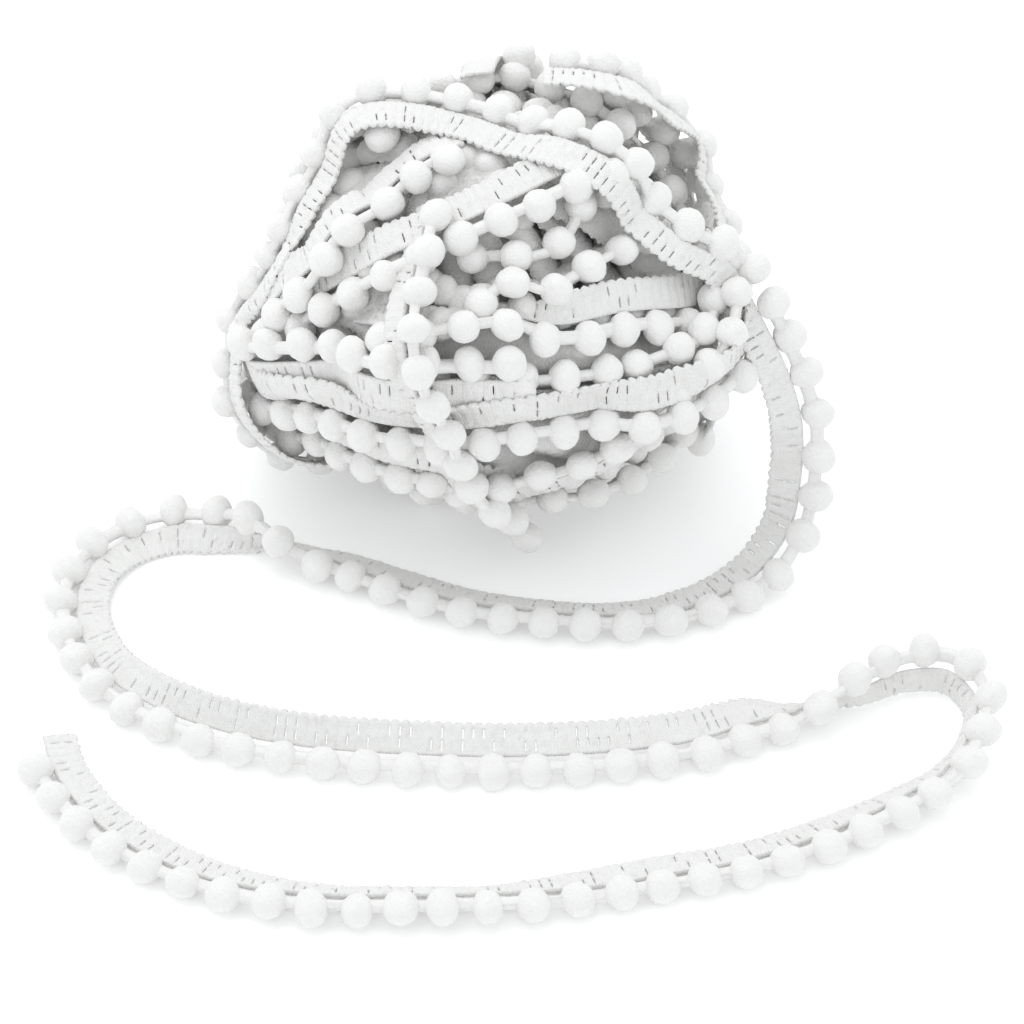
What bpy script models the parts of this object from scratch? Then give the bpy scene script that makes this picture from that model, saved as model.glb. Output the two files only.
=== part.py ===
"""Pompom fringe trim: an untidy wound ball of trim with one loose end laid out in an S.

Units are metres and +Z is up. The ball rests on a small flat spot at the origin. Looking along +Y,
the loose end leaves the ball at its right and lies on the same surface in front of it.
"""

import math

import bmesh
import bpy
import numpy as np

MM = 0.001

# The trim: a knitted heading tape with pompoms along one edge
TAPE_WIDTH = 0.011
TAPE_THICKNESS = 0.0015
TAPE_STEP = 0.008
TAPE_COLUMNS = (0.0, 0.5, 1.0)  # shares of its width
TAPE_CURL = 0.28  # share of its width that the tape loses to curling where it hangs under the seam
POMPOM_RADIUS = 0.005
POMPOM_PITCH = 0.0135
POMPOM_REACH = 0.0062  # from the seam to the middle of a pompom
DROOP = 0.85  # share of its height over the surface that a pompom beside the tape loses
DROOP_BELOW = 0.007  # seam height under which the surface holds the pompoms up
NECK_RADIUS = 0.0012
NECK_REACH = 0.0036
GAP = 0.0003

# The wound ball
BALL_HALF_SIZE = (0.084, 0.082, 0.072)
BALL_CENTRE_HEIGHT = 0.070
BALL_SEGMENTS = 54
BALL_RINGS = 30
WRAP_HALF_WIDTH = 0.015
WRAP_LIFT = 0.0045
WRAP_STEP = 0.05  # along a wrap, as a share of the ball's radius
LUMP_HEIGHT = 0.0015

# Seam of the loose end, from the ball to the cut end: x, y, z in millimetres, and roll, the angle
# in degrees of the tape about its seam. At roll 0 the tape lies flat to the right of its run, at
# -90 it hangs under the seam, at -180 it lies flat to the left, and more than that leans it up.
SEAM_ROWS = (
    (82, -33, 96, -28),
    (90, -39, 82, -28),
    (97, -44, 67, -26),
    (101, -49, 52, -18),
    (101, -55, 35, -8),
    (98, -62, 19, -2),
    (89, -71, 9, -4),
    (76, -80, 5, -8),
    (58, -88, 4, -12),
    (36, -91, 4, -24),
    (12, -89, 4, -26),
    (-12, -84, 4, -22),
    (-34, -75, 4, -20),
    (-53, -66, 4, -26),
    (-69, -60, 6, -50),
    (-83, -55, 6, -92),
    (-96, -49, 5, -138),
    (-110, -46, 4, -158),
    (-126, -51, 3, -170),
    (-138, -64, 3, -178),
    (-142, -82, 3, -182),
    (-138, -102, 4, -190),
    (-128, -121, 5, -206),
    (-111, -136, 6, -222),
    (-88, -147, 6, -229),
    (-60, -154, 6, -226),
    (-28, -157, 6, -218),
    (4, -158, 6, -212),
    (34, -156, 6, -206),
    (62, -151, 6, -200),
    (84, -142, 6, -180),
    (102, -135, 6, -132),
    (118, -129, 6, -92),
    (133, -121, 6, -76),
    (147, -121, 6, -70),
    (155, -133, 6, -68),
    (152, -150, 6, -62),
    (144, -164, 6, -48),
    (129, -176, 4, -34),
    (107, -189, 4, -24),
    (80, -201, 4, -18),
    (52, -208, 4, -14),
    (26, -214, 4, -18),
    (2, -218, 4, -34),
    (-28, -219, 4, -34),
    (-58, -218, 4, -30),
    (-84, -212, 4, -20),
    (-106, -202, 4, -12),
    (-124, -189, 4, -8),
    (-137, -173, 4, -8),
    (-145, -157, 4, -8),
    (-148, -146, 4, -8),
)

# Main wraps of the ball, each a row of stations (longitude, latitude) in degrees about its middle:
# longitude 0 faces -Y and grows towards +X, latitude 90 is the top
WRAPS = {
    "outer": (
        (73, -12), (58, 12), (49, 33), (44, 53), (28, 78),
        (-115, 70), (-97, 39), (-79, 8), (-70, -20),
    ),
    "right shoulder": ((165, 76), (128, 58), (116, 27), (100, 8), (78, -4)),
    "left shoulder": ((-70, 28), (-68, 48), (-74, 66), (-150, 78)),
    "waist": ((-62, 0), (-38, 7), (-16, 6), (5, 9), (23, 9), (38, 8), (60, 10), (88, 12)),
    "front": ((-31, 56), (-23, 32), (-17, 10), (-9, -8), (2, -28)),
    "back": ((172, -24), (166, 8), (172, 40), (-170, 68)),
    "back waist": ((-88, -6), (-118, 4), (-150, 16), (176, 20), (142, 12), (112, 0)),
}

WHITE_KNIT = (0.91, 0.915, 0.92)
WHITE_YARN = (0.92, 0.925, 0.93)


def clear_scene():
    for old in list(bpy.data.objects):
        bpy.data.objects.remove(old)


def new_collection(name):
    made = bpy.data.collections.new(name)
    bpy.context.scene.collection.children.link(made)
    return made


def plain_material(name, colour, roughness):
    made = bpy.data.materials.new(name)
    made.use_nodes = True
    shader = made.node_tree.nodes["Principled BSDF"]
    shader.inputs["Base Color"].default_value = (*colour, 1)
    shader.inputs["Roughness"].default_value = roughness
    shader.inputs["Metallic"].default_value = 0
    return made


def add_mesh_object(name, mesh, collection, material=None):
    made = bpy.data.objects.new(name, mesh)
    collection.objects.link(made)
    if material:
        mesh.materials.append(material)
    return made


def smooth_through(rows, step):
    """Points a step apart along the smooth curve through the rows, whose first three columns are the place."""
    rows = np.array(rows, float)
    chord = np.linalg.norm(np.diff(rows[:, :3], axis=0), axis=1)
    knots = np.concatenate([[0], np.cumsum(chord)])
    slopes = np.gradient(rows, knots, axis=0)
    fine = np.linspace(0, knots[-1], 40 * len(rows))
    at = np.clip(np.searchsorted(knots, fine, side="right") - 1, 0, len(knots) - 2)
    span = chord[at][:, None]
    t = ((fine - knots[at]) / chord[at])[:, None]
    curve = (
        (1 + 2 * t) * (1 - t) ** 2 * rows[at]
        + t * (1 - t) ** 2 * span * slopes[at]
        + t**2 * (3 - 2 * t) * rows[at + 1]
        + t**2 * (t - 1) * span * slopes[at + 1]
    )
    run = np.concatenate([[0], np.cumsum(np.linalg.norm(np.diff(curve[:, :3], axis=0), axis=1))])
    even = np.linspace(0, run[-1], max(2, round(run[-1] / step)) + 1)
    return np.stack([np.interp(even, run, column) for column in curve.T], axis=1), run[-1]


def unit(vectors):
    return vectors / np.linalg.norm(vectors, axis=-1, keepdims=True)


def seam_frames(step):
    """Along the seam: its places, the way the tape points from it, the tape's whole reach, and the length."""
    rows = [(x * MM, y * MM, z * MM, math.radians(roll)) for x, y, z, roll in SEAM_ROWS]
    points, length = smooth_through(rows, step)
    place, roll = points[:, :3], points[:, 3:]
    run = unit(np.gradient(place, axis=0))
    right = unit(np.cross(run, (0, 0, 1)))
    over = np.cross(right, run)
    tape = np.cos(roll) * right + np.sin(roll) * over
    hanging = np.clip(-np.sin(roll), 0, 1)
    across = tape * TAPE_WIDTH * (1 - TAPE_CURL * hanging**2)
    free_edge_height = place[:, 2] + across[:, 2] - TAPE_THICKNESS / 2
    place[:, 2] += np.maximum(0, GAP - free_edge_height)
    return place, tape, across, length


def pompom_places(place, tape, reach):
    """Where the fringe lies, reach away from the seam: across from the tape, or down on the surface."""
    lying = POMPOM_RADIUS + GAP
    level_share = np.linalg.norm(tape[:, :2], axis=1)
    hanging_clear = np.clip((place[:, 2] - DROOP_BELOW) / DROOP_BELOW, 0, 1)
    height = place[:, 2] - reach * tape[:, 2]
    height -= DROOP * level_share**2 * (1 - hanging_clear) * np.maximum(0, height - lying)
    rise = np.clip((np.maximum(height, lying) - place[:, 2]) / reach, -0.6, 0.97)
    out = -tape[:, :2] / np.maximum(level_share, 0.2)[:, None] * np.sqrt(1 - rise**2)[:, None]
    return place + reach * np.concatenate([out, rise[:, None]], axis=1)


def make_loose_heading(collection, material):
    place, tape, across, length = seam_frames(TAPE_STEP)
    form = bmesh.new()
    grid = [
        [form.verts.new(seam + reach * share) for share in TAPE_COLUMNS]
        for seam, reach in zip(place, across)
    ]
    for near, far in zip(grid, grid[1:]):
        for j in range(len(TAPE_COLUMNS) - 1):
            form.faces.new((near[j], near[j + 1], far[j + 1], far[j]))
    mesh = bpy.data.meshes.new("loose_heading")
    form.to_mesh(mesh)
    form.free()
    made = add_mesh_object("loose_heading", mesh, collection, material)
    shell = made.modifiers.new("thickness", "SOLIDIFY")
    shell.thickness = TAPE_THICKNESS
    shell.offset = 0
    return made


def make_pompom_fringe(collection, material):
    """One comb: round pompoms on a strand, drawn in to necks that reach towards the tape's edge."""
    stations = (  # along the strand as a share of the pitch, radius, reach from the seam
        (-0.50, NECK_RADIUS, NECK_REACH),
        (-0.23, 0.80 * POMPOM_RADIUS, POMPOM_REACH),
        (0.00, 1.02 * POMPOM_RADIUS, POMPOM_REACH),
        (0.23, 0.80 * POMPOM_RADIUS, POMPOM_REACH),
    )
    place, tape, across, length = seam_frames(POMPOM_PITCH / 10)
    along = np.linspace(0, length, len(place))
    chains = {reach: pompom_places(place, tape, reach) for reach in (NECK_REACH, POMPOM_REACH)}
    beads = []
    for number in range(int(length / POMPOM_PITCH)):
        for share, radius, reach in stations:
            at = (number + 0.5 + share) * POMPOM_PITCH
            beads.append(([np.interp(at, along, axis) for axis in chains[reach].T], radius))
    curve = bpy.data.curves.new("pompom_fringe", "CURVE")
    curve.dimensions = "3D"
    curve.bevel_depth = POMPOM_RADIUS
    curve.bevel_resolution = 2
    curve.use_fill_caps = True
    spline = curve.splines.new("POLY")
    spline.points.add(len(beads) - 1)
    for point, (where, radius) in zip(spline.points, beads):
        point.co = (*where, 1)
        point.radius = radius / POMPOM_RADIUS
    tube = bpy.data.objects.new("pompom_strand", curve)
    collection.objects.link(tube)
    bpy.context.view_layer.update()
    mesh = bpy.data.meshes.new_from_object(tube.evaluated_get(bpy.context.evaluated_depsgraph_get()))
    mesh.name = "pompom_fringe"
    bpy.data.objects.remove(tube)
    form = bmesh.new()
    form.from_mesh(mesh)
    bmesh.ops.remove_doubles(form, verts=form.verts, dist=0.00001)
    bmesh.ops.recalc_face_normals(form, faces=form.faces)
    form.to_mesh(mesh)
    form.free()
    mesh.materials.clear()
    return add_mesh_object("pompom_fringe", mesh, collection, material)


def direction(longitude, latitude):
    level = math.cos(math.radians(latitude))
    return np.array(
        (
            level * math.sin(math.radians(longitude)),
            -level * math.cos(math.radians(longitude)),
            math.sin(math.radians(latitude)),
        )
    )


def surface_lift(ways, wraps):
    """How far the wound surface stands over the plain egg shape in each direction."""
    lift = np.zeros(len(ways))
    for wrap in wraps:
        apart = np.min(np.linalg.norm(ways[:, None] - wrap[None], axis=2), axis=1)
        near = np.clip(1 - apart * max(BALL_HALF_SIZE) / WRAP_HALF_WIDTH, 0, 1)
        lift = np.maximum(lift, WRAP_LIFT * near**2 * (3 - 2 * near))
    x, y, z = ways.T
    lumps = np.sin(7 * x + 4 * z) * np.sin(6 * y - 5 * z + 1) + np.sin(9 * z + 5 * x * y)
    return lift + LUMP_HEIGHT * lumps


def make_ball_mesh(name, grown=0.0):
    wraps = [
        unit(smooth_through([direction(*station) for station in stations], WRAP_STEP)[0])
        for stations in WRAPS.values()
    ]
    form = bmesh.new()
    bmesh.ops.create_uvsphere(form, u_segments=BALL_SEGMENTS, v_segments=BALL_RINGS, radius=1)
    ways = np.array([vert.co for vert in form.verts])
    plain = ways * np.array(BALL_HALF_SIZE)
    stands = plain + unit(plain) * (surface_lift(unit(plain), wraps) + grown)[:, None]
    stands[:, 2] += BALL_CENTRE_HEIGHT
    stands[:, 2] = np.maximum(stands[:, 2], -grown)
    for vert, where in zip(form.verts, stands):
        vert.co = where
    mesh = bpy.data.meshes.new(name)
    form.to_mesh(mesh)
    form.free()
    return mesh


def make_wound_ball(collection, material):
    made = add_mesh_object("wound_ball", make_ball_mesh("wound_ball"), collection, material)
    made.data.shade_smooth()
    return made


def make_clearance(collection):
    made = add_mesh_object("ball_clearance", make_ball_mesh("ball_clearance", GAP), collection)
    made.hide_render = True
    made.display_type = "WIRE"
    return made


def keep_clear(piece, cutter):
    cut = piece.modifiers.new("meets_the_ball", "BOOLEAN")
    cut.operation = "DIFFERENCE"
    cut.object = cutter


def main():
    clear_scene()
    trim = new_collection("pompom_fringe_trim")
    cutters = new_collection("cutters")
    knit = plain_material("white_knit", WHITE_KNIT, 0.85)
    yarn = plain_material("white_yarn", WHITE_YARN, 0.9)
    make_wound_ball(trim, yarn)
    clearance = make_clearance(cutters)
    keep_clear(make_loose_heading(trim, knit), clearance)
    keep_clear(make_pompom_fringe(trim, yarn), clearance)


main()
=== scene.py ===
import math

import bmesh
import bpy
import numpy as np
from mathutils import Euler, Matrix, Vector, kdtree, noise


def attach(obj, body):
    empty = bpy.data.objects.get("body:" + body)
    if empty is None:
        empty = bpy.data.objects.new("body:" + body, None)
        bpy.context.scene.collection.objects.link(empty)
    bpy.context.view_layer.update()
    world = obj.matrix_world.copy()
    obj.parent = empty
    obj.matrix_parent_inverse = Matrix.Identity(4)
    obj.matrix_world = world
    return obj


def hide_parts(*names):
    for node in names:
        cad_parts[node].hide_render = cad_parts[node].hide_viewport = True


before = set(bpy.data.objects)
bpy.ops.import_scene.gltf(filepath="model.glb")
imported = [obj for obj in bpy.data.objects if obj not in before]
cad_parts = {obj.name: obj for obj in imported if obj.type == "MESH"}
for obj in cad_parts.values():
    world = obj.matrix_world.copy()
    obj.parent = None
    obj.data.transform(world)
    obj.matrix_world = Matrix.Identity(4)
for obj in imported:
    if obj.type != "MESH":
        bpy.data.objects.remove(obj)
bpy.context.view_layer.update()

mm = 0.001  # lengths of the trim and the view are in millimetres until a piece is made

trim = {
    "tapeWidth": 11.0,
    "tapeCurl": 0.28,  # share of its width that the tape loses where it hangs under the seam
    "tapeThickness": 1.5,
    "ribPitch": 3.4,
    "pompomRadius": 5.0,
    "pompomPitch": 13.5,
    "pompomReach": 5.7,  # from the seam to the middle of a pompom
    "neckReach": 4.6,
    "droop": 0.85,
    "droopBelow": 7.0,
    "gap": 0.3,
}


# camera, light and floor

def lookAlong(thing, way):
    thing.rotation_euler = Vector(way).to_track_quat("-Z", "Y").to_euler()


def makeCamera():
    view = {"target": (4.1, -33.8, 0.0), "elevation": 42.0, "distance": 1400.0, "lens": 142.7}
    tip = math.radians(view["elevation"])
    away = Vector((0, -math.cos(tip), math.sin(tip)))
    data = bpy.data.cameras.new("camera")
    data.lens = view["lens"]
    data.sensor_width = 36
    camera = bpy.data.objects.new("camera", data)
    camera.location = (Vector(view["target"]) + away * view["distance"]) * mm
    lookAlong(camera, -away)
    bpy.context.scene.collection.objects.link(camera)
    bpy.context.scene.camera = camera


def makeStudio():
    # sizes and places in metres
    studio = {"sky": 1.0, "skyColour": (0.97, 0.985, 1.0), "boxPower": 5.5, "boxSize": 1.3,
              "boxPlace": (-0.25, 0.45, 1.25), "floorColour": (0.95, 0.95, 0.95), "floorLift": 0.16}
    scene = bpy.context.scene
    scene.view_settings.view_transform = "Standard"
    world = bpy.data.worlds.new("studio")
    world.use_nodes = True
    sky = world.node_tree.nodes["Background"]
    sky.inputs["Color"].default_value = (*studio["skyColour"], 1)
    sky.inputs["Strength"].default_value = studio["sky"]
    scene.world = world
    data = bpy.data.lights.new("soft_box", "AREA")
    data.shape = "SQUARE"
    data.size = studio["boxSize"]
    data.energy = studio["boxPower"]
    box = bpy.data.objects.new("soft_box", data)
    box.location = studio["boxPlace"]
    lookAlong(box, -box.location)
    scene.collection.objects.link(box)

    finish = Finish("floor_paint", studio["floorColour"], 0.9)
    finish.feed(finish.shader, {"Emission Color": (1, 1, 1, 1), "Emission Strength": studio["floorLift"]})
    form = bmesh.new()
    bmesh.ops.create_grid(form, x_segments=1, y_segments=1, size=3.0)
    mesh = bpy.data.meshes.new("floor")
    form.to_mesh(mesh)
    form.free()
    floor = bpy.data.objects.new("floor", mesh)
    mesh.materials.append(finish.material)
    scene.collection.objects.link(floor)


# materials

class Flow:  # a node's output, used as a number or a vector in an expression
    def __init__(self, finish, socket):
        self.finish = finish
        self.socket = socket

    def maths(self, operation, *terms):
        return self.finish.node("ShaderNodeMath", {"operation": operation}, dict(enumerate(terms)))

    def __add__(self, other):
        return self.maths("ADD", self, other)

    def __sub__(self, other):
        return self.maths("SUBTRACT", self, other)

    def __mul__(self, other):
        return self.maths("MULTIPLY", self, other)

    def __rsub__(self, other):
        return self.maths("SUBTRACT", other, self)

    __radd__ = __add__
    __rmul__ = __mul__


class Finish:  # one material and its nodes
    def __init__(self, name, colour, roughness):
        self.material = bpy.data.materials.new(name)
        self.material.use_nodes = True
        self.tree = self.material.node_tree
        self.shader = self.tree.nodes["Principled BSDF"]
        self.shader.inputs["Base Color"].default_value = (*colour, 1)
        self.shader.inputs["Roughness"].default_value = roughness

    def node(self, kind, settings, inputs, output=0):
        made = self.tree.nodes.new(kind)
        for name, value in settings.items():
            setattr(made, name, value)
        self.feed(made, inputs)
        return Flow(self, made.outputs[output])

    def feed(self, made, inputs):
        for key, value in inputs.items():
            if isinstance(value, Flow):
                self.tree.links.new(value.socket, made.inputs[key])
            else:
                made.inputs[key].default_value = value

    def split(self, vector):
        apart = self.node("ShaderNodeSeparateXYZ", {}, {0: vector})
        return [Flow(self, socket) for socket in apart.socket.node.outputs]

    def blend(self, share, first, second):
        colours = {0: share, 6: (*first, 1), 7: (*second, 1)}
        return self.node("ShaderNodeMix", {"data_type": "RGBA"}, colours, 2)

    def noise(self, place, scale):
        return self.node("ShaderNodeTexNoise", {}, {"Vector": place, "Scale": scale, "Detail": 2.0})

    def bump(self, height, strength, depth):
        return self.node("ShaderNodeBump", {}, {"Strength": strength, "Distance": depth, "Height": height})


def pompomFinish():  # scales are cells per metre; shade is the darker yarn colour, partly random tone and partly painted shade in the bump's hollows
    yarn = {"colour": (0.875, 0.875, 0.865), "shade": (0.83, 0.825, 0.805), "tuft": 1150.0,
            "hair": 2760.0, "lump": 260.0, "bump": 0.5, "depth": 0.0006}
    finish = Finish("pompom_yarn", yarn["colour"], 0.95)
    place = finish.node("ShaderNodeTexCoord", {}, {}, 3)
    tufts = finish.node("ShaderNodeTexVoronoi", {"feature": "F1"}, {"Vector": place, "Scale": yarn["tuft"]})
    hairs = finish.noise(place, yarn["hair"])
    # the lump noise raises the bump and also picks the colour: random tone, with painted shade where the
    # lumps are low
    lumpsAndHollowShade = finish.noise(place, yarn["lump"])
    height = lumpsAndHollowShade * 0.7 + hairs * 0.35 - tufts * 0.8
    finish.feed(finish.shader, {
        "Base Color": finish.blend(lumpsAndHollowShade, yarn["shade"], yarn["colour"]),
        "Normal": finish.bump(height, yarn["bump"], yarn["depth"]),
        "Sheen Weight": 0.25, "Sheen Roughness": 0.6, "Specular IOR Level": 0.15,
    })
    return finish.material


def knitFinish():  # stitch and wale in millimetres, the other scales in cells per metre
    knit = {"colour": (0.865, 0.865, 0.855), "shade": (0.81, 0.805, 0.785), "stitch": 1.15, "wale": 0.75,
            "lean": 0.9, "fuzz": 2600.0, "patch": 180.0, "bump": 0.55, "depth": 0.0004}
    finish = Finish("knit_tape", knit["colour"], 0.85)
    place = finish.node("ShaderNodeTexCoord", {}, {}, 3)
    laid = finish.node("ShaderNodeAttribute", {"attribute_name": "laid"}, {}, 1)
    along, across = finish.split(laid)[:2]
    turn = 2 * math.pi / knit["stitch"]
    wale = across.maths("PINGPONG", across, knit["wale"])
    phase = along * turn + wale * (turn * knit["lean"])
    stitches = phase.maths("SINE", phase)
    height = stitches * 0.35 + finish.noise(place, knit["fuzz"]) * 0.6
    patches = finish.noise(place, knit["patch"])
    finish.feed(finish.shader, {
        "Base Color": finish.blend(patches, knit["shade"], knit["colour"]),
        "Normal": finish.bump(height, knit["bump"], knit["depth"]),
        "Sheen Weight": 0.15, "Sheen Roughness": 0.5, "Specular IOR Level": 0.2,
    })
    return finish.material


# small geometry

def unit(vectors):
    return vectors / np.maximum(np.linalg.norm(vectors, axis=-1, keepdims=True), 1e-9)


def smoothThrough(rows, step):  # evenly spaced along the smooth curve through rows, and its length
    rows = np.array(rows, float)
    chord = np.linalg.norm(np.diff(rows[:, :3], axis=0), axis=1)
    knots = np.concatenate([[0], np.cumsum(chord)])
    slopes = np.gradient(rows, knots, axis=0)
    fine = np.linspace(0, knots[-1], 40 * len(rows))
    at = np.clip(np.searchsorted(knots, fine, side="right") - 1, 0, len(knots) - 2)
    span = chord[at][:, None]
    t = ((fine - knots[at]) / chord[at])[:, None]
    curve = (
        (1 + 2 * t) * (1 - t) ** 2 * rows[at]
        + t * (1 - t) ** 2 * span * slopes[at]
        + t**2 * (3 - 2 * t) * rows[at + 1]
        + t**2 * (t - 1) * span * slopes[at + 1]
    )
    run = runLength(curve[:, :3])
    even = np.linspace(0, run[-1], max(2, round(run[-1] / step)) + 1)
    return np.stack([np.interp(even, run, column) for column in curve.T], axis=1), run[-1]


def runLength(points):
    return np.concatenate([[0], np.cumsum(np.linalg.norm(np.diff(points, axis=0), axis=1))])


def readAt(strand, line, at):
    return np.stack([np.interp(at, strand["along"], column) for column in strand[line].T], axis=-1)


def smoothed(values, width):  # running mean with soft shoulders, ends held
    reach = 3 * width
    weights = np.exp(-0.5 * (np.arange(-reach, reach + 1) / width) ** 2)
    weights /= weights.sum()
    padded = np.pad(values, [(reach, reach)] + [(0, 0)] * (values.ndim - 1), mode="edge")
    if values.ndim == 1:
        return np.convolve(padded, weights, mode="valid")
    return np.stack([np.convolve(column, weights, mode="valid") for column in padded.T], axis=1)


def widest(values, reach):
    padded = np.pad(values, reach, mode="edge")
    return np.max(np.lib.stride_tricks.sliding_window_view(padded, 2 * reach + 1), axis=1)


def addPiece(name, parts, material, laid=False):
    places, faces, tags, count = [], [], [], 0
    for part in parts:
        places.append(part[0])
        faces.append(part[1] + count)
        if laid:
            tags.append(part[2])
        count += len(part[0])
    mesh = bpy.data.meshes.new(name)
    mesh.from_pydata((np.concatenate(places) * mm).tolist(), [], np.concatenate(faces).tolist())
    mesh.shade_smooth()
    mesh.materials.append(material)
    if laid:
        stored = mesh.attributes.new("laid", "FLOAT_VECTOR", "POINT")
        stored.data.foreach_set("vector", np.concatenate(tags).astype(np.float32).ravel())
    piece = bpy.data.objects.new(name, mesh)
    bpy.context.scene.collection.objects.link(piece)
    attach(piece, "root")
    print(f"{name}: {2 * len(mesh.polygons)} triangles")
    return piece


# the heading tape: knitted ribs across it with slits between them, chains along it

tapeFine = {
    "stations": (0.0, 0.22, 0.44, 0.66, 0.87),  # shares of a rib's pitch, the last cell being the slit
    "bulge": (0.25, 0.85, 1.0, 0.85, 0.25),
    "rows": (0.0, 0.08, 0.16, 0.26, 0.36, 0.46, 0.54, 0.64, 0.74, 0.82, 0.90, 0.96, 1.0),
    "open": 0.4,
}
tapeHidden = {"stations": (0.0, 0.5), "bulge": (0.2, 1.0), "rows": (0.0, 0.33, 0.66, 1.0), "open": 0.0}
slitZones = ((0.15, 0.465), (0.535, 0.83))  # shares of the tape's width
chainRows = (0.04, 0.50, 0.88)


def knitTape(strand, kind, draw):
    knit = {"halfThickness": 0.36, "rib": 0.36, "chain": 0.26, "waver": 0.10, "loopReach": 0.05}
    ribs = int(strand["along"][-1] / trim["ribPitch"])
    shares = np.array(kind["stations"])
    perRib = len(shares)
    at = (np.arange(ribs)[:, None] + shares).ravel() * trim["ribPitch"]
    at = np.append(at, ribs * trim["ribPitch"])
    bulge = np.append(np.tile(kind["bulge"], ribs), kind["bulge"][0])
    rows = np.array(kind["rows"])
    count = (len(at), len(rows))
    across = np.tile(rows, (len(at), 1))
    across += 0.006 * draw.standard_normal(count)
    across[:, 0] = 0
    loops = 1 - knit["loopReach"] + 1.6 * knit["loopReach"] * bulge
    across[:, -1] = loops + 0.012 * draw.standard_normal(len(at))
    seam, middle, edge = (readAt(strand, line, at)[:, None] for line in ("seam", "middle", "edge"))
    v = across[..., None]
    place = seam * (1 - v) * (1 - 2 * v) + middle * 4 * v * (1 - v) + edge * v * (2 * v - 1)
    outward = unit(np.cross(np.gradient(place, axis=1), np.gradient(place, axis=0)))
    chain = np.exp(-(((rows[:, None] - np.array(chainRows)) / 0.045) ** 2)).sum(axis=1)
    half = knit["halfThickness"] + knit["rib"] * bulge[:, None] * (1 - 0.35 * chain) + knit["chain"] * chain
    half = half * (1 + 0.12 * draw.standard_normal(count))
    half[:, -1] *= 0.6
    wander = knit["waver"] * draw.standard_normal(count)[..., None] * outward
    top = place + outward * half[..., None] + wander
    bottom = place - outward * half[..., None] + wander
    keep = np.ones((len(at) - 1, len(rows) - 1), bool)
    if kind["open"]:
        slit = np.arange(perRib - 1, len(at) - 1, perRib)
        centres = (rows[1:] + rows[:-1]) / 2
        for low, high in slitZones:
            opened = slit[draw.random(len(slit)) < kind["open"]]
            keep[np.ix_(opened, (centres > low) & (centres < high))] = False
        keep[np.ix_(slit, centres > 0.93)] = False
    alongs, bulges = (np.broadcast_to(values[:, None], count) for values in (at, bulge))
    tag = np.stack([alongs, across * trim["tapeWidth"], bulges], axis=-1)
    return clothSolid(top, bottom, keep, tag)


def clothSolid(top, bottom, keep, tag):  # a grid of cells with two faces, walled where cells are left out
    count = top.shape[0] * top.shape[1]
    index = np.arange(count).reshape(top.shape[:2])
    under = index + count
    a, b, c, d = index[:-1, :-1], index[:-1, 1:], index[1:, 1:], index[1:, :-1]
    faces = [np.stack([a, b, c, d], -1)[keep], np.stack([a, d, c, b], -1)[keep] + [count] * 4]
    edged = np.pad(keep, 1)
    for ahead, behind, near, far in (
        (edged[1:, 1:-1], edged[:-1, 1:-1], (slice(None), slice(1, None)), (slice(None), slice(None, -1))),
        (edged[1:-1, :-1], edged[1:-1, 1:], (slice(1, None), slice(None)), (slice(None, -1), slice(None))),
    ):
        one, two = index[near], index[far]
        enter, leave = ahead & ~behind, behind & ~ahead
        faces.append(np.stack([one, two, under[far], under[near]], -1)[enter])
        faces.append(np.stack([two, one, under[near], under[far]], -1)[leave])
    faces = np.concatenate(faces)
    places = np.concatenate([top.reshape(-1, 3), bottom.reshape(-1, 3)])
    tags = np.concatenate([tag.reshape(-1, 3)] * 2)
    used, faces = np.unique(faces, return_inverse=True)
    return places[used], faces.reshape(-1, 4), tags[used]


# the fringe: round pompoms, and the skein of yarn that joins them

def pompomForms(cuts, number):  # a few unlike pompoms in their own axes: run, outward, up
    pompom = {"stretch": (1.07, 1.20, 1.05), "lump": 0.075, "lumpSize": 1.3, "tuft": 0.035, "tuftSize": 4.2}
    form = bmesh.new()
    bmesh.ops.create_cube(form, size=2)
    bmesh.ops.subdivide_edges(form, edges=form.edges[:], cuts=cuts, use_grid_fill=True)
    bmesh.ops.recalc_face_normals(form, faces=form.faces)
    ball = unit(np.array([vert.co for vert in form.verts]))
    faces = np.array([[vert.index for vert in face.verts] for face in form.faces])
    form.free()
    made = []
    for k in range(number):
        shift = Vector((7.3 * k + 1, 3.1 * k, -5.7 * k))
        swell = [
            1
            + pompom["lump"] * noise.noise(Vector(way) * pompom["lumpSize"] + shift)
            + pompom["tuft"] * noise.noise(Vector(way) * pompom["tuftSize"] + shift)
            for way in ball
        ]
        made.append(ball * np.array(pompom["stretch"]) * np.array(swell)[:, None] * trim["pompomRadius"])
    return made, faces


def pompoms(strand, forms, draw, places):
    spread = {"turn": 0.16, "size": 0.045, "stray": 0.25}  # how unlike they are and how they sit
    reach = 2  # either side, for the way the fringe runs
    shapes, faces = forms
    parts = []
    for at in places:
        middle = readAt(strand, "fringe", at)
        run = unit(readAt(strand, "fringe", at + reach) - readAt(strand, "fringe", at - reach))
        outward = middle - readAt(strand, "seam", at)
        outward = unit(outward - run * (outward @ run))
        axes = np.stack([run, outward, np.cross(run, outward)], axis=1)
        axes = axes @ np.array(Euler(draw.normal(0, spread["turn"], 3)).to_matrix())
        shape = shapes[draw.integers(len(shapes))] * (1 + spread["size"] * draw.standard_normal(3))
        if draw.random() < 0.5:
            shape = shape * (-1, 1, -1)  # half a turn about the outward axis
        spot = middle + draw.normal(0, spread["stray"], 3)
        parts.append((spot + shape @ axes.T, faces))
    return parts


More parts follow.
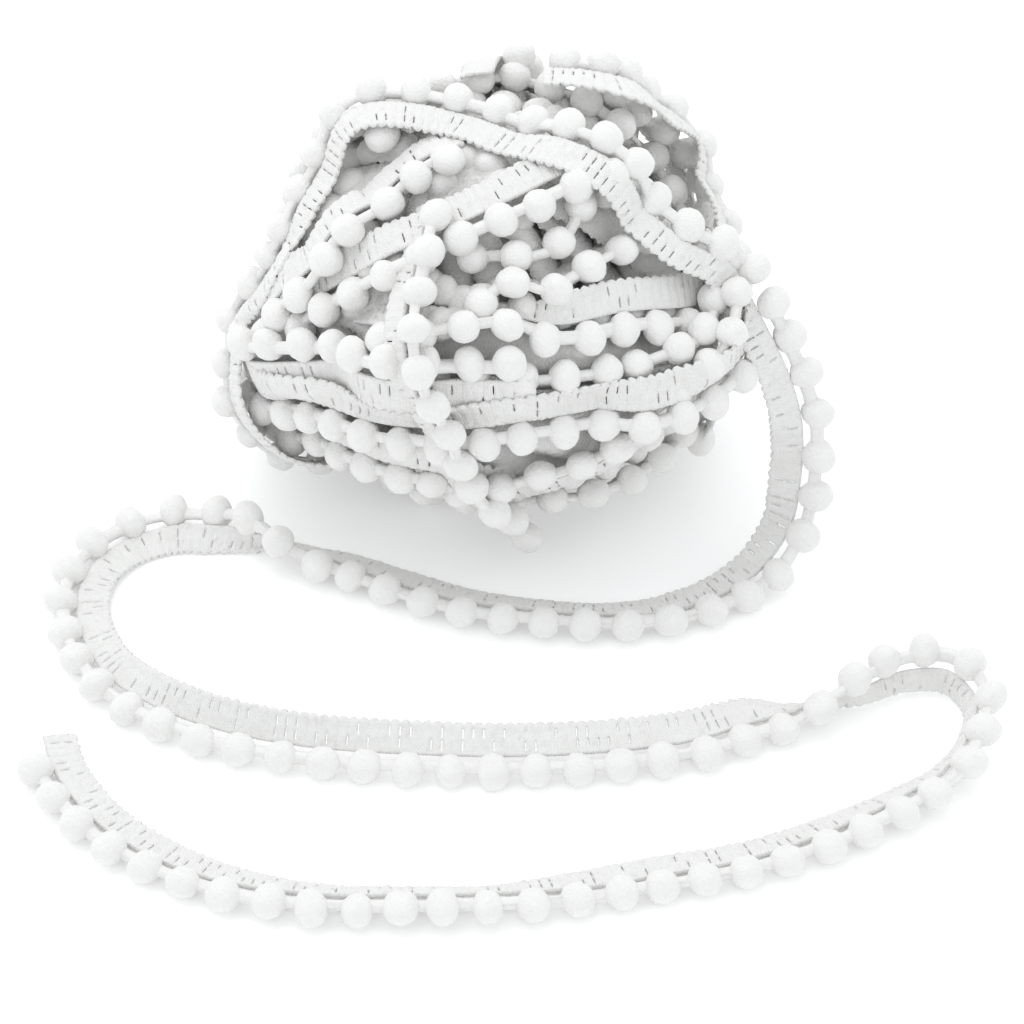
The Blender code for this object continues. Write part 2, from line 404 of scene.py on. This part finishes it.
def skeins(strand, places, sides, rings, draw):
    skein = {"radius": 2.3, "waist": 0.82, "ridge": 0.14, "inset": 1.5}
    around = np.arange(sides) * 2 * math.pi / sides
    index = np.arange((rings + 1) * sides).reshape(rings + 1, sides)
    beside = np.roll(index, -1, axis=1)
    faces = np.stack([index[:-1], index[1:], beside[1:], beside[:-1]], -1).reshape(-1, 4)
    parts = []
    for near, far in zip(places, places[1:]):
        at = np.linspace(near + skein["inset"], far - skein["inset"], rings + 1)
        seam, fringe = readAt(strand, "seam", at), readAt(strand, "fringe", at)
        line = seam + (fringe - seam) * trim["neckReach"] / trim["pompomReach"]
        run = unit(np.gradient(line, axis=0))
        out = fringe - seam
        out = unit(out - run * np.sum(out * run, axis=1, keepdims=True))
        up = np.cross(run, out)
        spread = np.abs(np.linspace(-1, 1, rings + 1))[:, None]
        size = skein["radius"] * (skein["waist"] + (1 - skein["waist"]) * spread**2)
        size = size * (1 + skein["ridge"] * draw.standard_normal(sides))[None, :]
        ring = (
            line[:, None]
            + out[:, None] * (np.cos(around) * size * 1.15)[..., None]
            + up[:, None] * (np.sin(around) * size * 0.9)[..., None]
        )
        parts.append((ring.reshape(-1, 3), faces))
    return parts


fringeKinds = {  # cuts across a side of a pompom, unlike pompoms, sides and rings of a skein
    "loose": {"cuts": 8, "forms": 6, "sides": 10, "rings": 4},
    "outer": {"cuts": 7, "forms": 6, "sides": 7, "rings": 3},
    "inner": {"cuts": 3, "forms": 4, "sides": 5, "rings": 2},
}


def makeFringe(name, strands, kind, draw, yarn):
    forms = pompomForms(kind["cuts"], kind["forms"])
    parts = []
    for strand in strands:
        parts += pompoms(strand, forms, draw, strand["pompoms"])
        parts += skeins(strand, strand["pompoms"], kind["sides"], kind["rings"], draw)
    return addPiece(name, parts, yarn)


def makeTape(name, strands, kind, draw, knit):
    return addPiece(name, [knitTape(strand, kind, draw) for strand in strands], knit, laid=True)


def declareTape(strands):
    length = sum(strand["along"][-1] for strand in strands)
    length * mm


# the loose end, from the ball to the cut end: x, y, z, and roll, the angle in degrees of the tape
# about its seam (0 lies flat to the right of its run, -90 hangs, -180 lies flat to the left)

seamRows = (
    (82, -33, 96, -28), (90, -39, 82, -28), (97, -44, 67, -26), (101, -49, 52, -18),
    (101, -55, 35, -8), (98, -62, 19, -2), (89, -71, 9, -4), (76, -80, 5, -8),
    (58, -88, 4, -12), (36, -91, 4, -24), (12, -89, 4, -26), (-12, -84, 4, -22),
    (-34, -75, 4, -20), (-53, -66, 4, -26), (-69, -60, 6, -50), (-83, -55, 6, -92),
    (-96, -49, 5, -138), (-110, -46, 4, -158), (-126, -51, 3, -170), (-138, -64, 3, -178),
    (-142, -82, 3, -182), (-138, -102, 4, -190), (-128, -121, 5, -206), (-111, -136, 6, -222),
    (-88, -147, 6, -229), (-60, -154, 6, -226), (-28, -157, 6, -218), (4, -158, 6, -212),
    (34, -156, 6, -206), (62, -151, 6, -200), (84, -142, 6, -180), (102, -135, 6, -132),
    (118, -129, 6, -92), (133, -121, 6, -76), (147, -121, 6, -70), (155, -133, 6, -68),
    (152, -150, 6, -62), (144, -164, 6, -48), (129, -176, 4, -34), (107, -189, 4, -24),
    (80, -201, 4, -18), (52, -208, 4, -14), (26, -214, 4, -18), (2, -218, 4, -34),
    (-28, -219, 4, -34), (-58, -218, 4, -30), (-84, -212, 4, -20), (-106, -202, 4, -12),
    (-124, -189, 4, -8), (-137, -173, 4, -8), (-145, -157, 4, -8), (-148, -146, 4, -8),
)


def looseStrand(step):
    rows = [(x, y, z, math.radians(roll)) for x, y, z, roll in seamRows]
    points, length = smoothThrough(rows, step)
    seam, roll = points[:, :3], points[:, 3:]
    run = unit(np.gradient(seam, axis=0))
    right = unit(np.cross(run, (0, 0, 1)))
    over = np.cross(right, run)
    tape = np.cos(roll) * right + np.sin(roll) * over
    hanging = np.clip(-np.sin(roll), 0, 1)
    across = tape * trim["tapeWidth"] * (1 - trim["tapeCurl"] * hanging**2)
    edgeHeight = seam[:, 2] + across[:, 2] - trim["tapeThickness"] / 2
    seam[:, 2] += np.maximum(0, trim["gap"] - edgeHeight)
    sag = trim["tapeWidth"] * trim["tapeCurl"] * hanging**2  # the tape bows where it is held short
    belly = np.cross(across, run)
    middle = seam + across / 2 + unit(belly) * sag * 0.55
    middle[:, 2] = np.maximum(middle[:, 2], trim["tapeThickness"] / 2)
    return {
        "along": np.linspace(0, length, len(seam)),
        "seam": seam, "middle": middle, "edge": seam + across,
        "fringe": besideTape(seam, tape, trim["pompomReach"]),
        "pompoms": (np.arange(int(length / trim["pompomPitch"])) + 0.5) * trim["pompomPitch"],
    }


def besideTape(seam, tape, reach):  # the fringe goes on across from the tape, or down on to the surface
    lying = trim["pompomRadius"] + trim["gap"]
    levelShare = np.linalg.norm(tape[:, :2], axis=1)
    clear = np.clip((seam[:, 2] - trim["droopBelow"]) / trim["droopBelow"], 0, 1)
    height = seam[:, 2] - reach * tape[:, 2]
    height -= trim["droop"] * levelShare**2 * (1 - clear) * np.maximum(0, height - lying)
    rise = np.clip((np.maximum(height, lying) - seam[:, 2]) / reach, -0.6, 0.97)
    out = -tape[:, :2] / np.maximum(levelShare, 0.2)[:, None] * np.sqrt(1 - rise**2)[:, None]
    return seam + reach * np.concatenate([out, rise[:, None]], axis=1)


# the wound ball: strands laid one over another on a map of how far the ball stands in each direction

ball = {
    "centre": (0.0, 0.0, 70.0),
    "halfSize": (82.0, 79.0, 69.0),  # to the middles of its outer pompoms
    "directions": 20000,
    "core": 0.70,  # share of that size at which the filling starts
    "step": 1.5,
    "fillings": ((9, 82), (6, 34)),  # turns, and how far they tilt from level in degrees
    "filled": 0.91,  # share of the ball's size that the filling may reach
    "outerBefore": 110,  # degrees that the outer wrap goes on under the ball
}
laying = {
    "clothPatch": 1.8, "clothStand": 0.9, "skeinPatch": 2.0, "skeinShare": 0.8,
    "widen": 2, "soften": 4,  # stations over which a strand bridges what it lies on
    "seamDrop": 1.6, "middleDrop": 0.6, "edgeDrop": 1.4,  # how far the tape lies under its pompoms
    "wrapSquash": 1.2, "fillingSquash": 1.5, "fillingBlock": 40,
    "onward": 18,  # degrees between the stations added at a strand's ends
}


def direction(longitude, latitude):
    lon, lat = math.radians(longitude), math.radians(latitude)
    return np.array((math.cos(lat) * math.sin(lon), -math.cos(lat) * math.cos(lon), math.sin(lat)))


def eggRadius(ways):
    return 1 / np.linalg.norm(ways / np.array(ball["halfSize"]), axis=-1)


class WoundForm:  # how far the ball stands in many even directions
    def __init__(self):
        count = ball["directions"]
        k = np.arange(count) + 0.5
        z = 1 - 2 * k / count
        turn = math.pi * (1 + math.sqrt(5)) * k
        level = np.sqrt(1 - z**2)
        self.ways = np.stack([level * np.cos(turn), level * np.sin(turn), z], axis=1)
        self.height = eggRadius(self.ways) * ball["core"]
        self.tree = kdtree.KDTree(count)
        for index, way in enumerate(self.ways):
            self.tree.insert(way, index)
        self.tree.balance()

    def support(self, ways, radii, reach, dome):
        found = np.zeros(len(ways))
        for k, (way, radius) in enumerate(zip(ways, radii)):
            near = self.tree.find_range(way, reach / radius) or [self.tree.find(way)]
            index = [hit[1] for hit in near]
            apart = np.array([hit[2] for hit in near]) * radius
            found[k] = np.max(self.height[index] + np.sqrt(np.maximum(dome**2 - apart**2, 0)))
        return found

    def cover(self, points, reach, dome):
        for point in points:
            radius = float(np.linalg.norm(point))
            for _, index, apart in self.tree.find_range(point / radius, reach / radius):
                stands = radius + math.sqrt(max(dome**2 - (apart * radius) ** 2, 0))
                self.height[index] = max(self.height[index], stands)


def coverWith(form, strand):
    centre = np.array(ball["centre"])
    lines = ("seam", "middle", "edge", "fringe")
    seam, middle, edge, fringe = (strand[line][::2] - centre for line in lines)
    for points in (seam, (seam + middle) / 2, middle, (middle + edge) / 2, edge):
        form.cover(points, laying["clothPatch"], laying["clothStand"])
    skein = seam + (fringe - seam) * laying["skeinShare"]
    form.cover(skein, laying["skeinPatch"], laying["skeinPatch"])
    beads = readAt(strand, "fringe", strand["pompoms"]) - centre
    form.cover(beads, trim["pompomRadius"], trim["pompomRadius"])


def layRange(form, ways, run, tuck, least, squash):
    # the strand's four lines over the form, pompoms to the left of its run
    left = unit(np.cross(ways, run))
    level = np.cos(tuck)[:, None]
    share = tuck / (math.pi / 2)
    size = np.linalg.norm(ways * least[:, None], axis=1)

    def offset(across):
        return unit(ways * size[:, None] + left * across * level)

    fringeWay, middleWay, edgeWay = (
        offset(across) for across in (trim["pompomReach"], -trim["tapeWidth"] / 2, -trim["tapeWidth"])
    )
    bead, cloth = (trim["pompomRadius"],) * 2, (laying["clothPatch"], laying["clothStand"])
    stand = {}
    for line, way, (reach, dome) in (
        ("fringe", fringeWay, bead), ("seam", ways, cloth),
        ("middle", middleWay, cloth), ("edge", edgeWay, cloth),
    ):
        held = form.support(way, size, reach, dome)
        stand[line] = smoothed(widest(held, laying["widen"]), laying["soften"])
    fringe = np.maximum(least, stand["fringe"] - squash)
    sin = np.sin(tuck)

    def follow(line, above, drop, reach):  # flat on what it lies on, or turned in under the line above
        flat = np.maximum(above - laying[drop], stand[line])
        return (1 - share) * flat + share * (above - reach * sin)

    seam = follow("seam", fringe, "seamDrop", trim["pompomReach"])
    middle = follow("middle", seam, "middleDrop", trim["tapeWidth"] / 2)
    edge = follow("edge", seam, "edgeDrop", trim["tapeWidth"])
    return {
        "seam": ways * seam[:, None], "middle": middleWay * middle[:, None],
        "edge": edgeWay * edge[:, None], "fringe": fringeWay * fringe[:, None],
    }


def finishStrand(lines, fromEnd=False):
    centre = np.array(ball["centre"])
    strand = {name: points + centre for name, points in lines.items()}
    for name, low in (("seam", 1.0), ("middle", 0.9), ("edge", 0.9), ("fringe", 4.9)):
        strand[name][:, 2] = np.maximum(strand[name][:, 2], low)
    strand["along"] = runLength(strand["seam"])
    spots = (np.arange(int(strand["along"][-1] / trim["pompomPitch"])) + 0.5) * trim["pompomPitch"]
    strand["pompoms"] = strand["along"][-1] - spots[::-1] if fromEnd else spots
    return strand


def goOn(rows, degrees):  # more stations straight round the ball past the last one
    last, former = unit(rows[-1][:3]), unit(rows[-2][:3])
    onward = unit(last - former * (last @ former))
    onward = unit(onward - last * (onward @ last))
    more = []
    for turn in np.arange(laying["onward"], degrees + 1, laying["onward"]):
        angle = math.radians(turn)
        more.append(np.array([*(last * math.cos(angle) + onward * math.sin(angle)), *rows[-1][3:]]))
    return rows + more


def layStrand(form, stations, line, before, after, fromEnd=False):
    rows = []
    for longitude, latitude, tuck, lift in stations:
        rows.append(np.array([*direction(longitude, latitude), math.radians(tuck), lift]))
    rows = goOn(rows, after)
    rows = goOn(rows[::-1], before)[::-1]
    rows = np.array(rows)
    rows[:, :3] *= eggRadius(rows[:, :3])[:, None]
    points, _ = smoothThrough(rows, ball["step"])
    ways, tuck = unit(points[:, :3]), points[:, 3]
    least = eggRadius(ways) + points[:, 4]
    run = unit(np.gradient(ways * least[:, None], axis=0))
    shift = {"tape": trim["tapeWidth"] / 2, "pompoms": -trim["pompomReach"], "seam": 0.0}[line]
    left = unit(np.cross(ways, run))
    ways = unit(ways * least[:, None] + left * shift * np.cos(tuck)[:, None])
    run = unit(np.gradient(ways * least[:, None], axis=0))
    strand = finishStrand(layRange(form, ways, run, tuck, least, laying["wrapSquash"]), fromEnd)
    coverWith(form, strand)
    return strand


def layFilling(form, turns, tilt, most):  # one long strand, its tilted turns stepping round the ball
    count = int(turns * 2 * math.pi * 60 / ball["step"])
    t = np.linspace(0, 2 * math.pi * turns, count)
    lean = math.radians(tilt) + 0.05 * np.sin(0.7 * t)
    x, y, z = np.cos(t), np.sin(t) * np.cos(lean), np.sin(t) * np.sin(lean)
    spin = t / (2 * turns)
    cos, sin = np.cos(spin), np.sin(spin)
    ways = unit(np.stack([x * cos - y * sin, x * sin + y * cos, z], axis=1))
    run = unit(np.gradient(ways, axis=0))
    block = laying["fillingBlock"]
    pieces = []
    for first in range(0, count, block):
        picked = slice(first, first + block)
        size = eggRadius(ways[picked]) * ball["core"]
        flat = np.zeros(len(size))
        lines = layRange(form, ways[picked], run[picked], flat, size, laying["fillingSquash"])
        for name, points in lines.items():
            length = np.linalg.norm(points, axis=1, keepdims=True)
            lines[name] = points * np.minimum(1, most * eggRadius(unit(points))[:, None] / length)
        coverWith(form, finishStrand(lines))
        pieces.append(lines)
    joined = {name: np.concatenate([part[name] for part in pieces]) for name in pieces[0]}
    return finishStrand({name: smoothed(points, laying["soften"]) for name, points in joined.items()})


# Wraps, inner ones first: a name, the line of the trim that the stations follow, and the degrees that
# the strand goes on before and after them. A station is longitude and latitude in degrees (0 faces -Y
# and grows towards +X), tuck, the angle by which the tape is turned in towards the middle, and lift,
# how far it stands over the egg shape. The pompoms are to the left of the run, seen from outside.
wraps = (
    ("under", "tape", 60, 60, (
        (-90, -34, 0, -3), (-45, -40, 0, -3), (0, -42, 0, -3), (45, -40, 0, -3), (90, -34, 0, -3),
    )),
    ("back low", "tape", 20, 20, (
        (-82, -22, 0, -2), (-120, -20, 0, -1), (-160, -24, 0, -1), (160, -22, 0, -1),
        (120, -24, 0, -1), (86, -26, 0, -2),
    )),
    ("back high", "tape", 0, 0, (
        (118, 40, 0, -4), (145, 48, 0, -2), (180, 50, 0, -1), (-145, 50, 0, -2), (-112, 40, 0, -4),
    )),
    ("deep", "pompoms", 30, 20, (
        (60, 55, 80, -7), (49, 58, 80, -5), (34, 52, 80, -5), (17, 48, 80, -6), (0, 49, 80, -8),
    )),
    ("high row", "pompoms", 30, 20, (
        (62, 38, 75, -6), (48, 41, 75, -4), (34, 41, 75, -3), (15, 38, 75, -4), (3, 41, 75, -4),
        (-6, 35, 75, -5), (-16, 30, 75, -8),
    )),
    ("brow", "tape", 20, 40, (
        (37, 70, 0, -2), (0, 67, 0, -1), (-31, 55, 0, -1), (-49, 40, 0, -4), (-62, 24, 0, -6),
    )),
    ("cheek", "tape", 30, 30, (
        (57, 24, 0, -2), (35, 32, 0, -2), (17, 33, 30, -2), (2, 34, 75, -2), (-10, 33, 75, -4),
        (-26, 30, 60, -6),
    )),
    ("low row", "pompoms", 20, 20, (
        (-14, 15, 20, -4), (-1, 17, 20, -2), (11, 17, 20, -2), (23, 16, 20, -2), (34, 14, 20, -2),
        (41, 15, 20, -2), (51, 15, 20, -2), (62, 18, 20, -3),
    )),
    ("left shoulder", "pompoms", 10, 40, (
        (-37, 77, 0, -2), (-56, 60, 0, 0), (-55, 48, 0, 0), (-58, 38, 0, 0), (-58, 26, 0, -2),
        (-64, 14, 0, -4),
    )),
    ("left waist", "tape", 60, 20, (
        (-76, -10, 0, -2), (-49, 5, 0, -1), (-34, 11, 0, -1), (-21, 13, 0, -2), (-8, 14, 20, -5),
    )),
    ("jaw left", "tape", 10, 60, (
        (0, -20, 20, -4), (-7, -15, 0, -2), (-16, -10, 0, -1), (-29, -10, 0, 0), (-44, -11, 0, 0),
        (-67, -17, 0, 0),
    )),
    ("jaw right", "tape", 10, 50, (
        (-2, -26, 20, -4), (8, -23, 0, -1), (20, -19, 0, 0), (33, -14, 0, 0), (44, -4, 0, 0),
        (56, 4, 0, -2),
    )),
    ("back upright", "tape", 20, 10, (
        (180, -36, 0, 0), (176, 0, 0, 1), (180, 38, 0, 1), (-165, 66, 0, 0),
    )),
    ("back left", "tape", 20, 10, (
        (-120, 52, 0, 0), (-128, 30, 0, 1), (-130, 0, 0, 1), (-140, -36, 0, -1),
    )),
    ("back right", "tape", 20, 10, (
        (128, -38, 0, -1), (126, -4, 0, 1), (134, 30, 0, 1), (150, 58, 0, 0),
    )),
    ("right shoulder", "tape", 6, 60, (
        (147, 70, 0, 0), (121, 59, 0, 0), (117, 27, 0, 1), (102, 19, 0, 1), (79, 15, 0, 0),
        (57, 9, 0, 0), (40, 9, 0, 0), (24, 10, 0, 0), (5, 10, 0, 0), (-16, 6, 0, 0),
        (-30, 4, 0, -2), (-46, 2, 0, -3), (-62, -4, 0, -3),
    )),
    ("front", "pompoms", 14, 0, (
        (-30, 60, 50, -1), (-24, 46, 50, 0), (-22, 36, 45, 1), (-18, 25, 45, 1), (-14, 14, 45, 1),
        (-10, 4, 45, 1), (-8, -8, 45, 1), (0, -22, 45, 3), (6, -34, 45, 8), (9, -44, 45, 12),
    )),
)
outerWrap = (
    (-69, -11, 0, 0), (-77, 2, 0, 0), (-76, 19, 0, 0), (-84, 37, 0, 0), (-96, 54, 0, 0),
    (-100, 75, 0, 0), (20, 82, 0, 0), (46, 70, 0, 1), (54, 54, 0, 3), (57, 38, 0, 6),
    (60, 26, 0, 9), (64, 16, 0, 11),
)


def meetLoose(strand, loose):  # the outer wrap runs on into the loose end
    reach = 34.0
    short = strand["along"][-1] - strand["along"]
    share = np.clip(1 - short / reach, 0, 1)
    share = (share**2 * (3 - 2 * share))[:, None]
    start = unit(loose["seam"][1] - loose["seam"][0])
    for line in ("seam", "middle", "edge", "fringe"):
        reached = loose[line][0] - short[:, None] * start
        strand[line] = strand[line] * (1 - share) + reached * share
    strand["along"] = runLength(strand["seam"])
    count = int(strand["along"][-1] / trim["pompomPitch"])
    strand["pompoms"] = strand["along"][-1] - (np.arange(count)[::-1] + 0.5) * trim["pompomPitch"]
    return strand


def makeLooseEnd(loose, knit, yarn, draw):
    tape = makeTape("loose_tape", [loose], tapeFine, draw, knit)
    fringe = makeFringe("loose_pompoms", [loose], fringeKinds["loose"], draw, yarn)
    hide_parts("loose_heading")
    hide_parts("pompom_fringe")
    declareTape([loose])
    print("loose end laid")


def makeBall(loose, knit, yarn, draw):
    form = WoundForm()
    fillings = [layFilling(form, turns, tilt, ball["filled"]) for turns, tilt in ball["fillings"]]
    inner = makeTape("ball_tape_inner", fillings, tapeHidden, draw, knit)
    innerPompoms = makeFringe("ball_pompoms_inner", fillings, fringeKinds["inner"], draw, yarn)
    declareTape(fillings)
    print("ball filled")

    strands = [layStrand(form, stations, line, before, after) for _, line, before, after, stations in wraps]
    outer = layStrand(form, outerWrap, "tape", ball["outerBefore"], 0, fromEnd=True)
    strands.append(meetLoose(outer, loose))
    half = len(strands) // 2
    for tag, group in (("lower", strands[:half]), ("upper", strands[half:])):
        cloth = makeTape(f"ball_tape_{tag}", group, tapeFine, draw, knit)
        rows = makeFringe(f"ball_pompoms_{tag}", group, fringeKinds["outer"], draw, yarn)
        declareTape(group)
    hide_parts("wound_ball")
    print("ball wound")


def main():
    makeStudio()
    makeCamera()
    print("studio set")
    knit, yarn = knitFinish(), pompomFinish()
    draw = np.random.default_rng(20)
    loose = looseStrand(0.6)
    makeLooseEnd(loose, knit, yarn, draw)
    makeBall(loose, knit, yarn, draw)


main()
